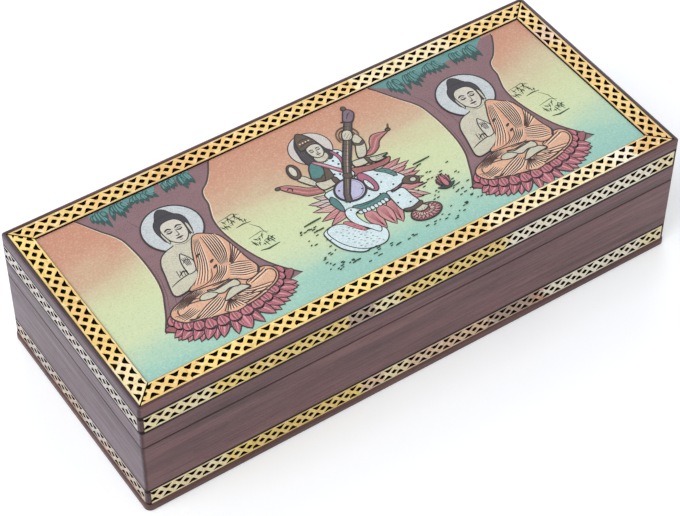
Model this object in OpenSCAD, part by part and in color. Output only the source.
// Hardwood keepsake box with a painted lid panel and pierced inlay strips.
// Millimetres. Origin under the middle of the walls, on the surface that the box stands on.
// +X runs along the long side, the front faces -Y and +Z is up.

/* [Box] */
// Length of the walls, outside
box_l = 203; // [180:1:230]
// Width of the walls, front to back, outside
box_w = 85; // [78:1:100]
// Height of the closed box
box_h = 48.7; // [46:0.1:60]
// Height of the lid, from the seam to the top
lid_h = 17.9; // [17:0.1:20]
// Thickness of the wall and lid boards
wall_t = 8; // [7.5:0.1:9]
// Radius of the upright corners
corner_r = 1.2; // [0.8:0.1:1.4]
// Gap between the two rims of the closed box
seam_gap = 0.2; // [0.1:0.05:0.3]
// Radius that eases the rims along the seam
seam_round = 0.3; // [0.2:0.05:0.4]

/* [Base plate] */
// Thickness of the base plate
plate_t = 2.7; // [2:0.1:3]
// How far the base plate stands out past the walls
plate_proud = 0.5; // [0.3:0.1:1]
// Corner radius of the base plate, seen from above
plate_corner_r = 2.2; // [1.6:0.1:3]
// Radius of the base plate's rounded upper edge
plate_edge_r = 0.9; // [0.5:0.1:1.2]
// Radius that eases the base plate's lower edge
plate_foot_r = 0.4; // [0.2:0.1:0.6]
// Length of the brads that hold the base plate
brad_l = 9; // [7:0.5:12]
// Shank radius of the brads
brad_r = 0.6; // [0.5:0.05:0.8]
// Head radius of the brads
brad_head_r = 1.1; // [1:0.05:1.4]
// Head thickness of the brads
brad_head_t = 0.4; // [0.3:0.05:0.6]
// How deep the brad heads are sunk
brad_sink = 0.2; // [0.1:0.05:0.4]
// Brads along each long side
brads_long = 3; // [2:1:5]

/* [Lid panel] */
// Thickness of the plywood panel
panel_t = 3; // [2.5:0.1:3.5]
// How far the panel reaches into its rebate in the boards
panel_lap = 4; // [3:0.1:5]
// Thickness of the painted picture sheet
picture_t = 0.4; // [0.3:0.05:0.7]
// Wood left standing outside the border strips
rim_w = 1.3; // [1:0.1:1.6]
// Radius of the lid's upper outer edge
rim_round = 0.4; // [0.2:0.05:0.5]

/* [Inlay strips] */
// Width of the strip stock
strip_w = 6.4; // [6:0.1:7]
// Thickness of the strip stock
strip_t = 1; // [0.8:0.1:1.2]
// Gap around a strip in its groove
strip_play = 0.15; // [0.05:0.05:0.2]
// From the lid's top down to the lid band
band_drop = 4.2; // [3.5:0.1:4.5]
// Wood left at the upright corners, past the ends of the side strips
band_end = 1.3; // [1.3:0.1:2.5]
// Open mitre between two border strips
mitre_gap = 0.4; // [0.2:0.05:0.6]
// Length of one repeat of the pierced pattern
repeat_l = 4.5; // [4.3:0.1:5]
// Repeats in one tile of the strip
tile_repeats = 4; // [3:1:6]
// Joint between two tiles
tile_joint = 0.08; // [0.06:0.02:0.2]
// How far the pattern drifts across the strip over one tile
tile_drift = 0.35; // [0:0.05:0.4]
// Width of the plain rail along each edge of a strip
rail_w = 0.7; // [0.6:0.05:0.8]
// Width of a star hole, tip to tip along the strip
star_w = 2.3; // [2:0.1:2.4]
// Width of a star hole across the strip
star_h = 2; // [1.7:0.1:2.1]
// Width of an edge hole along its rail
notch_w = 3.5; // [3:0.1:3.6]
// Height of an edge hole, from its rail to its tip
notch_h = 1.8; // [1.5:0.1:1.9]

/* [Hinges] */
// Length of a hinge
hinge_l = 20; // [16:1:25]
// From the end of the box to the middle of a hinge
hinge_inset = 36; // [28:1:45]
// Width of a leaf, from the pin's axis to its front edge
leaf_w = 6; // [5.6:0.1:6.4]
// Thickness of a leaf
leaf_t = 0.8; // [0.6:0.1:1]
// Outer radius of the knuckles
barrel_r = 1.6; // [1.4:0.05:1.8]
// Radius of the hinge pin
pin_r = 0.7; // [0.6:0.05:0.8]
// Running clearance between pin and knuckle, on the radius
pin_play = 0.05; // [0.02:0.01:0.08]
// Radius of the pin's two rounded heads
pin_head_r = 1.1; // [1:0.05:1.3]
// Gap between two knuckles
knuckle_gap = 0.15; // [0.1:0.05:0.2]
// How far the pin's axis lies inside the back face
pin_inset = 0.4; // [0.3:0.05:0.6]
// Opening angle at which the bevelled rear edges meet
open_max = 100; // [90:1:110]
// Shank radius of the leaf screws
screw_r = 0.7; // [0.6:0.05:0.8]
// Head radius of the leaf screws
screw_head_r = 1.35; // [1.2:0.05:1.5]
// Length of the leaf screws
screw_l = 6.5; // [5:0.5:7.5]
// From the pin's axis to the line of screws
screw_line = 3.9; // [3.7:0.1:4.1]

/* [Lining] */
// Thickness of the velvet-covered card
lining_t = 1; // [0.8:0.1:1.4]
// Gap at the ends of a lining card
lining_gap = 0.3; // [0.2:0.05:0.4]
// From a rim to the edge of the lining
lining_drop = 1.6; // [1:0.1:3]

/* [Hidden] */

// Sides of the box, each a quarter turn on from the one before it
SIDES = ["front", "right", "back", "left"];

// Colours
rosewood = [0.40, 0.27, 0.27];
plate_wood = [0.45, 0.26, 0.22];
plywood = [0.72, 0.56, 0.38];
bone = [0.90, 0.80, 0.52];
paint = [0.72, 0.78, 0.62];
velvet = [0.45, 0.05, 0.09];
brass = [0.78, 0.62, 0.30];
steel = [0.60, 0.60, 0.60];

// Levels
seam_z = box_h - lid_h;
base_rim_z = seam_z - seam_gap / 2;
lid_rim_z = seam_z + seam_gap / 2;
bed_z = box_h - strip_t;
panel_z = bed_z - panel_t;
lid_band_z = box_h - band_drop - strip_w / 2;
base_band_z = plate_t + strip_play + strip_w / 2;
floor_z = plate_t + lining_t;
ceiling_z = panel_z - lining_t;

// Plan sizes
inner_l = box_l - 2 * wall_t;
inner_w = box_w - 2 * wall_t;
rebate_lap = wall_t - panel_lap;
border_w = rim_w + strip_w + 2 * strip_play;

// Fits and small clearances
wood_fit = 0.02;
panel_play = 0.1;
cove_play = 0.2;
stop_slack = 1.5;
over = 1;

// Hinge places
pin_y = box_w / 2 - pin_inset;
hinge_x = box_l / 2 - hinge_inset;
knuckles = 5;
knuckle_l = hinge_l / knuckles;
pin_head_t = 0.4;
screw_x = hinge_l * 0.3;
screw_sink = 0.05;
screw_tip = 1.5;
slot_w = 0.35;

$fn = 48;

// Turn about Z that carries a piece drawn for the front to a side
function turn(side) = 90 * search([side], SIDES)[0];

// True on the two short sides
function is_end(side) = side == "left" || side == "right";

// Length of a side, and how far its outer face lies from the middle
function run(side) = is_end(side) ? box_w : box_l;
function reach(side) = (is_end(side) ? box_l : box_w) / 2;

// Outline of a star hole: four blunt tips with slightly rounded sides
function star_points(waist = 0.8) = [
    for (k = [0 : 7])
        let (r = k % 2 == 0 ? 1 : waist)
        [star_w / 2 * r * cos(45 * k), star_h / 2 * r * sin(45 * k)]
];

// Edge hole on a rail at y = 0, drawn in below its tip; waist and neck are shares of width and height
function notch_points(dip = 0.1, waist = [0.32, 0.4], neck = [0.14, 0.85]) = [
    [-notch_w / 2, 0],
    [0, notch_h * dip],
    [notch_w / 2, 0],
    [notch_w * waist.x, notch_h * waist.y],
    [notch_w * neck.x, notch_h * neck.y],
    [0, notch_h],
    [-notch_w * neck.x, notch_h * neck.y],
    [-notch_w * waist.x, notch_h * waist.y]
];

// Rectangle with round corners
module rounded_rect(l, w, r) {
    square([l, w - 2 * r], center = true);
    square([l - 2 * r, w], center = true);
    for (x = [-1, 1], y = [-1, 1])
        translate([x * (l / 2 - r), y * (w / 2 - r)])
            circle(r);
}

// Slab on z = 0 whose upper edge is a quarter round
module eased_slab(l, w, h, corner, edge) {
    straight_l = l - 2 * corner;
    straight_w = w - 2 * corner;
    linear_extrude(h - edge)
        rounded_rect(l, w, corner);
    linear_extrude(h)
        rounded_rect(l - 2 * edge, w - 2 * edge, corner - edge);
    for (s = [-1, 1]) {
        translate([0, s * (w / 2 - edge), h - edge])
            rotate([0, 90, 0])
                cylinder(h = straight_l, r = edge, center = true);
        translate([s * (l / 2 - edge), 0, h - edge])
            rotate([90, 0, 0])
                cylinder(h = straight_w, r = edge, center = true);
    }
    for (end = [0, 1], y = [-1, 1])
        mirror([end, 0, 0])
            translate([-straight_l / 2, y * straight_w / 2, h - edge])
                rotate_extrude()
                    intersection() {
                        translate([corner - edge, 0])
                            circle(edge);
                        square([corner, edge]);
                    }
}

// Plan of one mitred board on a side
module board_plan(side) {
    half = run(side) / 2;
    y = reach(side);
    rotate(turn(side))
        polygon([
            [-half, -y], [half, -y],
            [half - wall_t, wall_t - y], [wall_t - half, wall_t - y]
        ]);
}

// Mitred board of a side with square edges, over the given height
module board_prism(side, low, high) {
    translate([0, 0, low])
        linear_extrude(high - low)
            board_plan(side);
}

// Groove for the strip on a side's outer face
module band_groove(side, middle_z) {
    groove_w = strip_w + 2 * strip_play;
    groove_l = run(side) - 2 * band_end;
    rotate(turn(side))
        translate([-groove_l / 2, -reach(side) - over, middle_z - groove_w / 2])
            cube([groove_l, strip_t + over, groove_w]);
}

// Wedge off the rear edge of a rim; up is 1 on the lid and -1 on the base
module stop_bevel(up) {
    rise = tan(open_max / 2 + stop_slack / 2);
    reach_y = pin_inset + over;
    translate([0, pin_y, seam_z])
        rotate([90, 0, 90])
            linear_extrude(box_l + 2 * over, center = true)
                polygon([[0, 0], [reach_y, 0], [reach_y, up * reach_y * rise]]);
}

// Children on the pin's axis of one hinge: side is -1 for the left one and 1 for the right one
module at_hinge(side) {
    translate([side * hinge_x, pin_y, seam_z])
        children();
}

// Children once at each hinge
module at_hinges() {
    for (side = [-1, 1])
        at_hinge(side)
            children();
}

// Room for the knuckles in both rims
module barrel_cove() {
    rotate([0, 90, 0])
        cylinder(
            h = hinge_l + 2 * (pin_head_t + cove_play),
            r = barrel_r + cove_play,
            center = true
        );
}

// Seat of one leaf and the pilot holes of its screws; up is 1 on the lid and -1 on the base
module leaf_mortise(up) {
    depth = seam_gap / 2 + leaf_t;
    translate([-hinge_l / 2, -leaf_w, up > 0 ? 0 : -depth])
        cube([hinge_l, leaf_w + over, depth]);
    for (s = [-1, 1])
        translate([s * screw_x, -screw_line, 0])
            mirror([0, 0, up > 0 ? 0 : 1])
                cylinder(h = seam_gap / 2 + screw_l + cove_play, r = screw_r + wood_fit);
}

// Places of the brads under the middle of the walls
module at_brads() {
    long_y = box_w / 2 - wall_t / 2;
    short_x = box_l / 2 - wall_t / 2;
    step = (box_l - 4 * wall_t) / (brads_long - 1);
    for (k = [0 : brads_long - 1], s = [-1, 1])
        translate([2 * wall_t - box_l / 2 + k * step, s * long_y, 0])
            children();
    for (s = [-1, 1])
        translate([s * short_x, 0, 0])
            children();
}

// Slab the size of the base plate whose upper edge is a quarter round
module plate_slab(edge) {
    eased_slab(
        box_l + 2 * plate_proud, box_w + 2 * plate_proud,
        plate_t, plate_corner_r, edge
    );
}

module base_plate() {
    color(plate_wood)
        difference() {
            intersection() {
                plate_slab(plate_edge_r);
                translate([0, 0, plate_t])
                    mirror([0, 0, 1])
                        plate_slab(plate_foot_r);
            }
            at_brads() {
                translate([0, 0, -over])
                    cylinder(h = plate_t + 2 * over, r = brad_r + wood_fit);
                translate([0, 0, -over])
                    cylinder(h = over + brad_sink + brad_head_t, r = brad_head_r + wood_fit);
            }
        }
}

module base_brads() {
    color(steel)
        at_brads()
            translate([0, 0, brad_sink]) {
                cylinder(h = brad_head_t, r = brad_head_r);
                cylinder(h = brad_l - 2 * brad_r, r = brad_r);
                translate([0, 0, brad_l - 2 * brad_r])
                    cylinder(h = 2 * brad_r, r1 = brad_r, r2 = brad_r / 4);
            }
}

// One wall of the base
module wall(side) {
    color(rosewood)
        difference() {
            intersection() {
                translate([0, 0, plate_t])
                    eased_slab(box_l, box_w, base_rim_z - plate_t, corner_r, seam_round);
                board_prism(side, plate_t, base_rim_z);
            }
            band_groove(side, base_band_z);
            stop_bevel(-1);
            at_brads()
                cylinder(h = brad_sink + brad_l + cove_play, r = brad_r + wood_fit);
            if (side == "back")
                at_hinges() {
                    barrel_cove();
                    leaf_mortise(-1);
                }
        }
}

// One side of the lid frame
module rail(side) {
    lid_body_h = box_h - lid_rim_z;
    color(rosewood)
        difference() {
            intersection() {
                translate([0, 0, lid_rim_z])
                    eased_slab(box_l, box_w, lid_body_h, corner_r, rim_round);
                translate([0, 0, box_h])
                    mirror([0, 0, 1])
                        eased_slab(box_l, box_w, lid_body_h, corner_r, seam_round);
                board_prism(side, lid_rim_z, box_h);
            }
            translate([0, 0, bed_z])
                linear_extrude(strip_t + over)
                    square([box_l - 2 * rim_w, box_w - 2 * rim_w], center = true);
            translate([0, 0, panel_z])
                linear_extrude(panel_t + over)
                    square([box_l - 2 * rebate_lap, box_w - 2 * rebate_lap], center = true);
            band_groove(side, lid_band_z);
            stop_bevel(1);
            if (side == "back")
                at_hinges() {
                    barrel_cove();
                    leaf_mortise(1);
                }
        }
}

module lid_panel() {
    color(plywood)
        translate([0, 0, panel_z])
            linear_extrude(panel_t)
                square(
                    [
                        box_l - 2 * (rebate_lap + panel_play),
                        box_w - 2 * (rebate_lap + panel_play)
                    ],
                    center = true
                );
}

module picture_panel() {
    color(paint)
        translate([0, 0, bed_z])
            linear_extrude(picture_t)
                square([box_l - 2 * border_w, box_w - 2 * border_w], center = true);
}

// Holes of one tile that starts at x = 0: edge holes on both rails, stars half a repeat on
module tile_holes(count, pitch) {
    middle = count * pitch / 2;
    first_notch = (pitch - star_w) / 2 - tile_joint;
    skew = atan(tile_drift / (tile_repeats * pitch));
    rail_y = strip_w / 2 - rail_w;
    translate([middle, 0])
        rotate(-skew)
            for (k = [0 : count - 1])
                translate([k * pitch + first_notch - middle, 0]) {
                    translate([0, -rail_y])
                        polygon(notch_points());
                    mirror([0, 1])
                        translate([0, -rail_y])
                            polygon(notch_points());
                    translate([pitch / 2, 0])
                        polygon(star_points());
                }
}

// Outline of a strip: square ends, or ends mitred towards +Y
module strip_outline(length, mitred) {
    half = mitred ? length / 2 - mitre_gap / sqrt(2) : length / 2;
    inner = mitred ? half - strip_w : half;
    polygon([
        [-half, -strip_w / 2], [half, -strip_w / 2],
        [inner, strip_w / 2], [-inner, strip_w / 2]
    ]);
}

// Pierced strip, flat on z = 0 and centred along X, made of short tiles laid end to end
module lattice_strip(length, mitred) {
    repeats = round(length / repeat_l);
    pitch = length / repeats;
    tiles = ceil(repeats / tile_repeats);
    color(bone)
        for (k = [0 : tiles - 1])
            let (count = min(tile_repeats, repeats - k * tile_repeats))
            let (start = k * tile_repeats * pitch - length / 2)
            linear_extrude(strip_t)
                difference() {
                    intersection() {
                        translate([start + tile_joint / 2, -strip_w / 2])
                            square([count * pitch - tile_joint, strip_w]);
                        strip_outline(length, mitred);
                    }
                    translate([start, 0])
                        tile_holes(count, pitch);
                }
}

// Strip let into the outer face of a side
module band_strip(side, middle_z) {
    rotate(turn(side))
        translate([0, strip_t - reach(side), middle_z])
            rotate([90, 0, 0])
                lattice_strip(run(side) - 2 * (band_end + strip_play), false);
}

// Strip of the picture's border
module border_strip(side) {
    outer = rim_w + strip_play;
    rotate(turn(side))
        translate([0, outer + strip_w / 2 - reach(side), bed_z])
            lattice_strip(run(side) - 2 * outer, true);
}

// Lining card that lies flat, filling the inside
module flat_lining(low) {
    color(velvet)
        translate([0, 0, low])
            linear_extrude(lining_t)
                square([inner_l - 2 * lining_gap, inner_w - 2 * lining_gap], center = true);
}

// Lining card that stands against a wall; the short ones fit between the long ones
module wall_lining(side, low, high) {
    length = run(side) - 2 * (wall_t + lining_gap + (is_end(side) ? lining_t : 0));
    color(velvet)
        rotate(turn(side))
            translate([-length / 2, wall_t - reach(side), low])
                cube([length, lining_t, high - low]);
}

module base_lining(side) {
    wall_lining(side, floor_z, base_rim_z - lining_drop);
}

module lid_lining(side) {
    wall_lining(side, lid_rim_z + lining_drop, ceiling_z);
}

// True where a knuckle belongs to the leaf on the base
function on_base(k) = k % 2 == 0;

// Hinge leaf with its knuckles about the pin's axis; up is 1 on the lid and -1 on the base
module hinge_leaf(up) {
    plate_low = up > 0 ? seam_gap / 2 : -seam_gap / 2 - leaf_t;
    face_z = up * seam_gap / 2;
    color(brass)
        difference() {
            union() {
                translate([-hinge_l / 2, -leaf_w, plate_low])
                    cube([hinge_l, leaf_w, leaf_t]);
                for (k = [0 : knuckles - 1])
                    if (on_base(k) == (up < 0))
                        knuckle(k, barrel_r, -knuckle_gap / 2);
            }
            for (k = [0 : knuckles - 1])
                if (on_base(k) != (up < 0))
                    knuckle(k, barrel_r + knuckle_gap, knuckle_gap / 2);
            rotate([0, 90, 0])
                cylinder(h = hinge_l + 2 * over, r = pin_r + pin_play, center = true);
            for (s = [-1, 1])
                translate([s * screw_x, -screw_line, face_z])
                    mirror([0, 0, up > 0 ? 0 : 1])
                        screw_room();
        }
}

// Cylinder over the length of one knuckle, longer by the given amount at each end
module knuckle(k, r, longer) {
    translate([-hinge_l / 2 + k * knuckle_l - longer, 0, 0])
        rotate([0, 90, 0])
            cylinder(h = knuckle_l + 2 * longer, r = r);
}

// Countersunk hole through a leaf whose open face is z = 0, with the leaf above it
module screw_room() {
    cone_h = screw_head_r - screw_r;
    translate([0, 0, -over])
        cylinder(h = over + screw_sink, r = screw_head_r + wood_fit);
    translate([0, 0, screw_sink])
        cylinder(h = cone_h, r1 = screw_head_r + wood_fit, r2 = screw_r + wood_fit);
    cylinder(h = leaf_t + over, r = screw_r + wood_fit);
}

// Countersunk screw that points up from its head, with a straight slot
module leaf_screw() {
    cone_h = screw_head_r - screw_r;
    difference() {
        union() {
            cylinder(h = cone_h, r1 = screw_head_r, r2 = screw_r);
            cylinder(h = screw_l - screw_tip, r = screw_r);
            translate([0, 0, screw_l - screw_tip])
                cylinder(h = screw_tip, r1 = screw_r, r2 = screw_r / 6);
        }
        translate([-screw_head_r - over, -slot_w / 2, -over])
            cube([2 * (screw_head_r + over), slot_w, over + cone_h / 2]);
    }
}

// Screws of both hinges' leaves; up is 1 on the lid and -1 on the base
module leaf_screws(up) {
    color(brass)
        at_hinges()
            for (s = [-1, 1])
                translate([s * screw_x, -screw_line, up * (seam_gap / 2 + screw_sink)])
                    mirror([0, 0, up > 0 ? 0 : 1])
                        leaf_screw();
}

// Hinge pin with a head peened over at each end of the barrel
module hinge_pin() {
    color(brass)
        rotate([0, 90, 0]) {
            cylinder(h = hinge_l, r = pin_r, center = true);
            for (s = [0, 1])
                mirror([0, 0, s])
                    translate([0, 0, hinge_l / 2])
                        cylinder(h = pin_head_t, r1 = pin_head_r, r2 = pin_head_r * 0.7);
        }
}

base_plate();
base_brads();
wall("front");  // front_wall
wall("right");  // right_wall
wall("back");  // back_wall
wall("left");  // left_wall
band_strip("front", base_band_z);  // base_strip_front
band_strip("right", base_band_z);  // base_strip_right
band_strip("back", base_band_z);  // base_strip_back
band_strip("left", base_band_z);  // base_strip_left
flat_lining(plate_t);  // floor_lining
base_lining("front");  // front_lining
base_lining("right");  // right_lining
base_lining("back");  // back_lining
base_lining("left");  // left_lining
rail("front");  // lid_front_rail
rail("right");  // lid_right_rail
rail("back");  // lid_back_rail
rail("left");  // lid_left_rail
lid_panel();
picture_panel();
band_strip("front", lid_band_z);  // lid_strip_front
band_strip("right", lid_band_z);  // lid_strip_right
band_strip("back", lid_band_z);  // lid_strip_back
band_strip("left", lid_band_z);  // lid_strip_left
border_strip("front");  // top_strip_front
border_strip("right");  // top_strip_right
border_strip("back");  // top_strip_back
border_strip("left");  // top_strip_left
flat_lining(ceiling_z);  // lid_top_lining
lid_lining("front");  // lid_front_lining
lid_lining("right");  // lid_right_lining
lid_lining("back");  // lid_back_lining
lid_lining("left");  // lid_left_lining
at_hinge(-1) hinge_leaf(-1);  // left_hinge_base_leaf
at_hinge(1) hinge_leaf(-1);  // right_hinge_base_leaf
at_hinge(-1) hinge_leaf(1);  // left_hinge_lid_leaf
at_hinge(1) hinge_leaf(1);  // right_hinge_lid_leaf
at_hinge(-1) hinge_pin();  // left_hinge_pin
at_hinge(1) hinge_pin();  // right_hinge_pin
leaf_screws(-1);  // base_leaf_screws
leaf_screws(1);  // lid_leaf_screws
